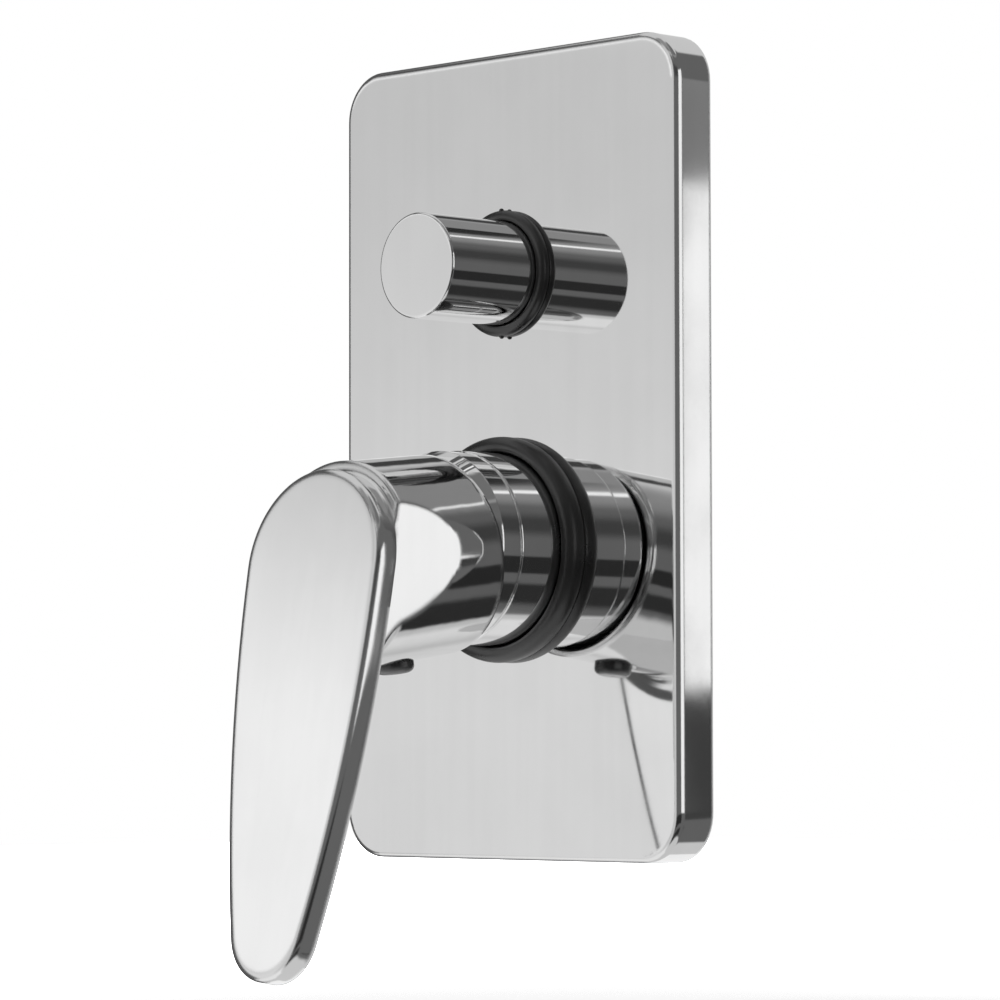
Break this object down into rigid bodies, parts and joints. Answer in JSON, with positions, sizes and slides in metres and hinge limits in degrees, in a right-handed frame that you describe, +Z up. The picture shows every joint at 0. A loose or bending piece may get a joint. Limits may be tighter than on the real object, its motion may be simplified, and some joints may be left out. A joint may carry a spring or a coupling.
{
  "type": "shower mixer",
  "caption": "Concealed shower mixer: chrome cover plate, single lever over a ceramic cartridge, pull-out diverter knob, black rubber collars and a brass body behind the wall.",
  "frame": {"origin": "centre of the cover plate's back rim, on the wall plane", "axes": "+X to the right seen from the room, +Y into the wall, +Z up"},
  "size_m": [0.111, 0.1154, 0.2163],
  "materials": {
    "plate_chrome": "polished chrome plating",
    "lever_chrome": "polished chrome plating",
    "trim_chrome": "polished chrome plating",
    "black_rubber": "satin moulded rubber",
    "foam_strip": "matt closed-cell foam",
    "cast_brass": "cast and machined brass",
    "cartridge_plastic": "moulded plastic",
    "ceramic": "lapped ceramic",
    "steel": "machined steel",
    "plug_plastic": "glossy moulded plastic"
  },
  "bodies": {
    "base": {"cover_plate": "plate_chrome", "plate_seal": "foam_strip", "sleeve_grommet": "black_rubber", "knob_grommet": "black_rubber", "valve_body": "cast_brass", "sleeve": "trim_chrome", "sleeve_oring": "black_rubber", "dome": "trim_chrome", "cartridge_base": "cartridge_plastic", "base_seals": "black_rubber", "fixed_disc": "ceramic", "cartridge_housing": "cartridge_plastic", "cartridge_nut": "cast_brass", "diverter_bonnet": "cast_brass", "spindle_oring": "black_rubber", "diverter_spring": "steel"},
    "rotor": {"cartridge_rotor": "cartridge_plastic", "stem_pin": "steel"},
    "slider": {"disc_carrier": "cartridge_plastic", "moving_disc": "ceramic"},
    "lever": {"lever": "lever_chrome", "lever_screw": "steel", "screw_plug": "plug_plastic", "stem": "steel"},
    "diverter": {"diverter_knob": "trim_chrome", "diverter_spindle": "cast_brass", "spool_seal": "black_rubber"}
  },
  "joints": [
    {"name": "lever_turn", "type": "hinge", "parent": "base", "child": "rotor", "pos_m": [0, -0.0233, -0.0225], "axis": [0, -1, 0], "range_deg": [-45, 45]},
    {"name": "lever_tilt", "type": "hinge", "parent": "rotor", "child": "lever", "pos_m": [0, -0.0233, -0.0225], "axis": [-1, 0, 0], "range_deg": [0, 25]},
    {"name": "disc_slide", "type": "slide", "parent": "rotor", "child": "slider", "axis": [0, 0, 1], "range_m": [-0.0036, 0]},
    {"name": "diverter_pull", "type": "slide", "parent": "base", "child": "diverter", "axis": [0, -1, 0], "range_m": [0, 0.008], "stiffness_N_per_m": 300, "springref_m": -0.005, "deforming": ["diverter_spring"]}
  ],
  "couplings": [
    {"joint": "disc_slide", "follows": "lever_tilt", "m_per_rad": -0.00792}
  ]
}
